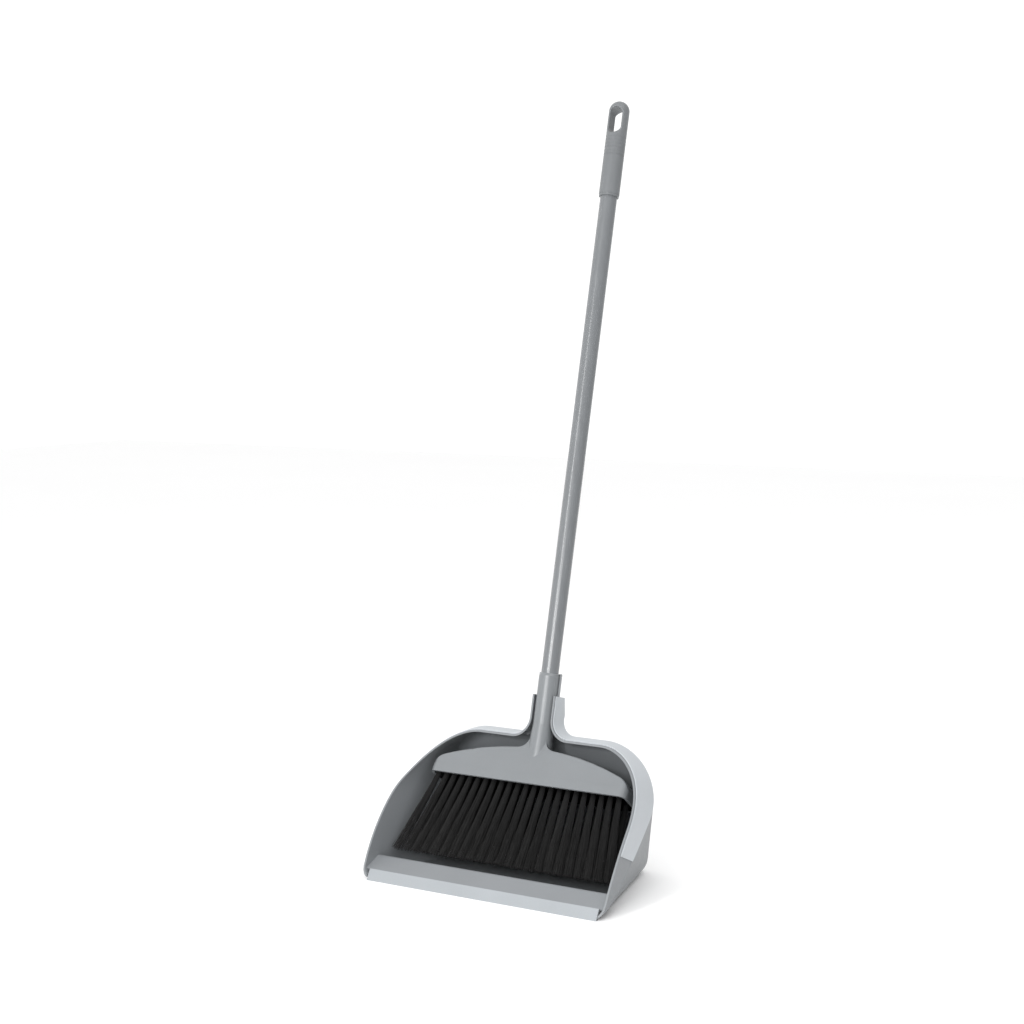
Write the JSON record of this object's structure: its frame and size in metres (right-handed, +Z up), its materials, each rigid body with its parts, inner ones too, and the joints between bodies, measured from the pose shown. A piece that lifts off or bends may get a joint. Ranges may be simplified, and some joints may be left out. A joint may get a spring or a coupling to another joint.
{
  "type": "upright dustpan with clip-in broom",
  "caption": "Upright household dustpan with a deep hooded bowl, soft lip and rim band; a long-handled broom clips into its U-shaped neck and lifts out to sweep.",
  "frame": {"origin": "point on the flat underside of the pan where the axis of the leaning pole meets the floor", "axes": "+Z up; -Y the open front of the pan, where the lip is; +X the right-hand side seen from the front"},
  "size_m": [0.3212, 0.3557, 0.9182],
  "materials": {
    "pan_plastic": "satin moulded",
    "rim_rubber": "satin soft-touch",
    "head_plastic": "satin moulded",
    "bristle_fibre": "fine black fibre",
    "staple_wire": "drawn wire",
    "tube_coating": "satin coating on steel tube",
    "plug_plastic": "moulded",
    "cap_plastic": "satin moulded"
  },
  "bodies": {
    "pan": {"pan_tub": "pan_plastic", "rim_band_left": "rim_rubber", "rim_band_right": "rim_rubber", "sweep_lip": "rim_rubber"},
    "broom": {"head_cover": "head_plastic", "socket_sleeve": "head_plastic", "tuft_row_1": "bristle_fibre", "tuft_row_2": "bristle_fibre", "tuft_row_3": "bristle_fibre", "tuft_row_4": "bristle_fibre", "tuft_staples": "staple_wire"},
    "pole": {"pole_tube": "tube_coating", "tube_plug": "plug_plastic", "hanging_cap": "cap_plastic"}
  },
  "joints": [
    {"name": "broom_release", "type": "slide", "parent": "pan", "child": "broom", "axis": [0, -0.866, 0.5], "range_m": [0, 0.2]},
    {"name": "pole_pull", "type": "slide", "parent": "broom", "child": "pole", "axis": [0, 0.2504, 0.9681], "range_m": [0, 0.115]}
  ]
}
